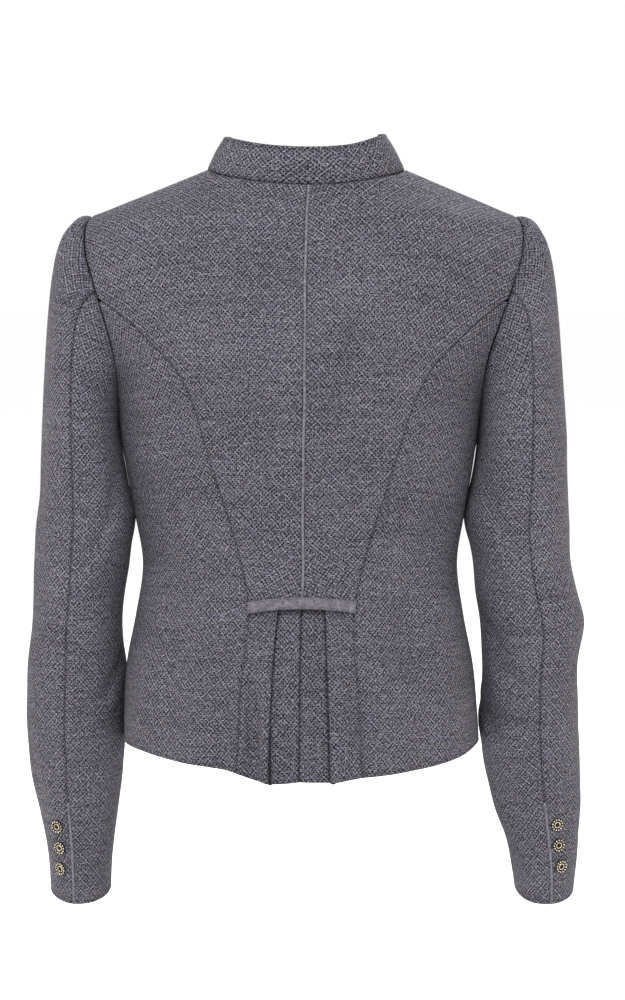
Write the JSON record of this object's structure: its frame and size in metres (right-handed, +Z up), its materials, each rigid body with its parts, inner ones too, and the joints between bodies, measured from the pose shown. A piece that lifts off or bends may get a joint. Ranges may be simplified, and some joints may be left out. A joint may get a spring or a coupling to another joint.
{
  "type": "jacket",
  "caption": "Short fitted folk-style wool jacket with a stand collar, princess seams, a box-pleated peplum back under a small tab, and set-in sleeves with buttoned cuff vents.",
  "frame": {"origin": "middle of the base of the neck, level with the shoulder seams, where the wearer's shoulders carry the jacket", "axes": "+Z up, towards the collar; -Y is the jacket's front; +X is the wearer's left"},
  "size_m": [0.5047, 0.2497, 0.6975],
  "materials": {
    "wool": "matte heathered wool, small diamond weave",
    "felt_trim": "matte plain felt",
    "button_metal": "aged cast metal with dark recesses"
  },
  "bodies": {
    "root": {"back_left": "wool", "back_right": "wool", "back_side_left": "wool", "back_side_right": "wool", "front_left": "wool", "front_right": "wool", "front_side_left": "wool", "front_side_right": "wool", "pleat_inlay_left": "wool", "pleat_inlay_right": "wool", "sleeve_top_left": "wool", "sleeve_top_right": "wool", "sleeve_under_left": "wool", "sleeve_under_right": "wool", "collar": "wool", "back_tab": "felt_trim", "back_piping": "felt_trim", "cuff_piping_left": "felt_trim", "cuff_piping_right": "felt_trim", "cuff_button_left_1": "button_metal", "cuff_button_left_2": "button_metal", "cuff_button_left_3": "button_metal", "cuff_button_right_1": "button_metal", "cuff_button_right_2": "button_metal", "cuff_button_right_3": "button_metal", "front_button_1": "button_metal", "front_button_2": "button_metal", "front_button_3": "button_metal", "front_button_4": "button_metal", "front_button_5": "button_metal", "front_button_6": "button_metal", "front_button_7": "button_metal"}
  },
  "joints": []
}
